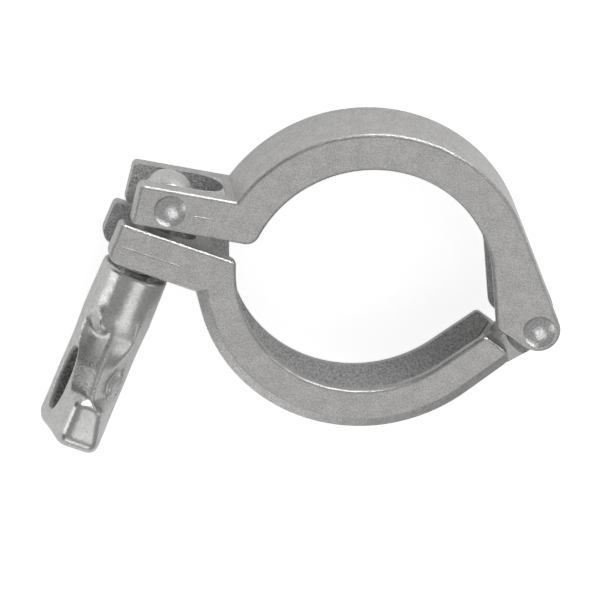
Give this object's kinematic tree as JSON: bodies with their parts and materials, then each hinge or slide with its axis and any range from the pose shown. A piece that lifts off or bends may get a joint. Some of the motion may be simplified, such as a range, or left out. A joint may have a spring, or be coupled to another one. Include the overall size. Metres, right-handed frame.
{
  "type": "hinged sanitary tube clamp",
  "caption": "Hinged clamp for a 2 inch sanitary ferrule joint: two grooved cast halves on a hinge pin, closed by a swing bolt with a wing nut in slotted lugs.",
  "frame": {"origin": "centre of the upper half's groove, midway through the thickness of the body", "axes": "+Z along the tubes the clamp joins, toward the viewer; +X from the bolt side to the hinge side; +Y away from the lower half"},
  "size_m": [0.1098, 0.0874, 0.026],
  "materials": {
    "cast_steel": "tumbled cast stainless, fine speckle",
    "pin_steel": "polished domed heads",
    "bolt_steel": "machined rod, dull eye",
    "nut_steel": "polished casting with speckles"
  },
  "bodies": {
    "upper_half": {"upper_half": "cast_steel", "hinge_pin": "pin_steel", "bolt_pin": "pin_steel"},
    "lower_half": {"lower_half": "cast_steel"},
    "swing_bolt": {"swing_bolt": "bolt_steel"},
    "wing_nut": {"wing_nut": "nut_steel"}
  },
  "joints": [
    {"name": "jaw_hinge", "type": "hinge", "parent": "upper_half", "child": "lower_half", "pos_m": [0.0402, -0.0032, 0], "axis": [0, 0, 1], "range_deg": [0, 12]},
    {"name": "bolt_swing", "type": "hinge", "parent": "upper_half", "child": "swing_bolt", "pos_m": [-0.0482, 0.0096, 0], "axis": [0, 0, -1], "range_deg": [-5, 140]},
    {"name": "nut_travel", "type": "slide", "parent": "swing_bolt", "child": "wing_nut", "axis": [-0.1564, -0.9877, 0], "range_m": [0, 0.01885]}
  ],
  "couplings": [
    {"joint": "nut_travel", "follows": "jaw_hinge", "m_per_rad": 0.09}
  ]
}
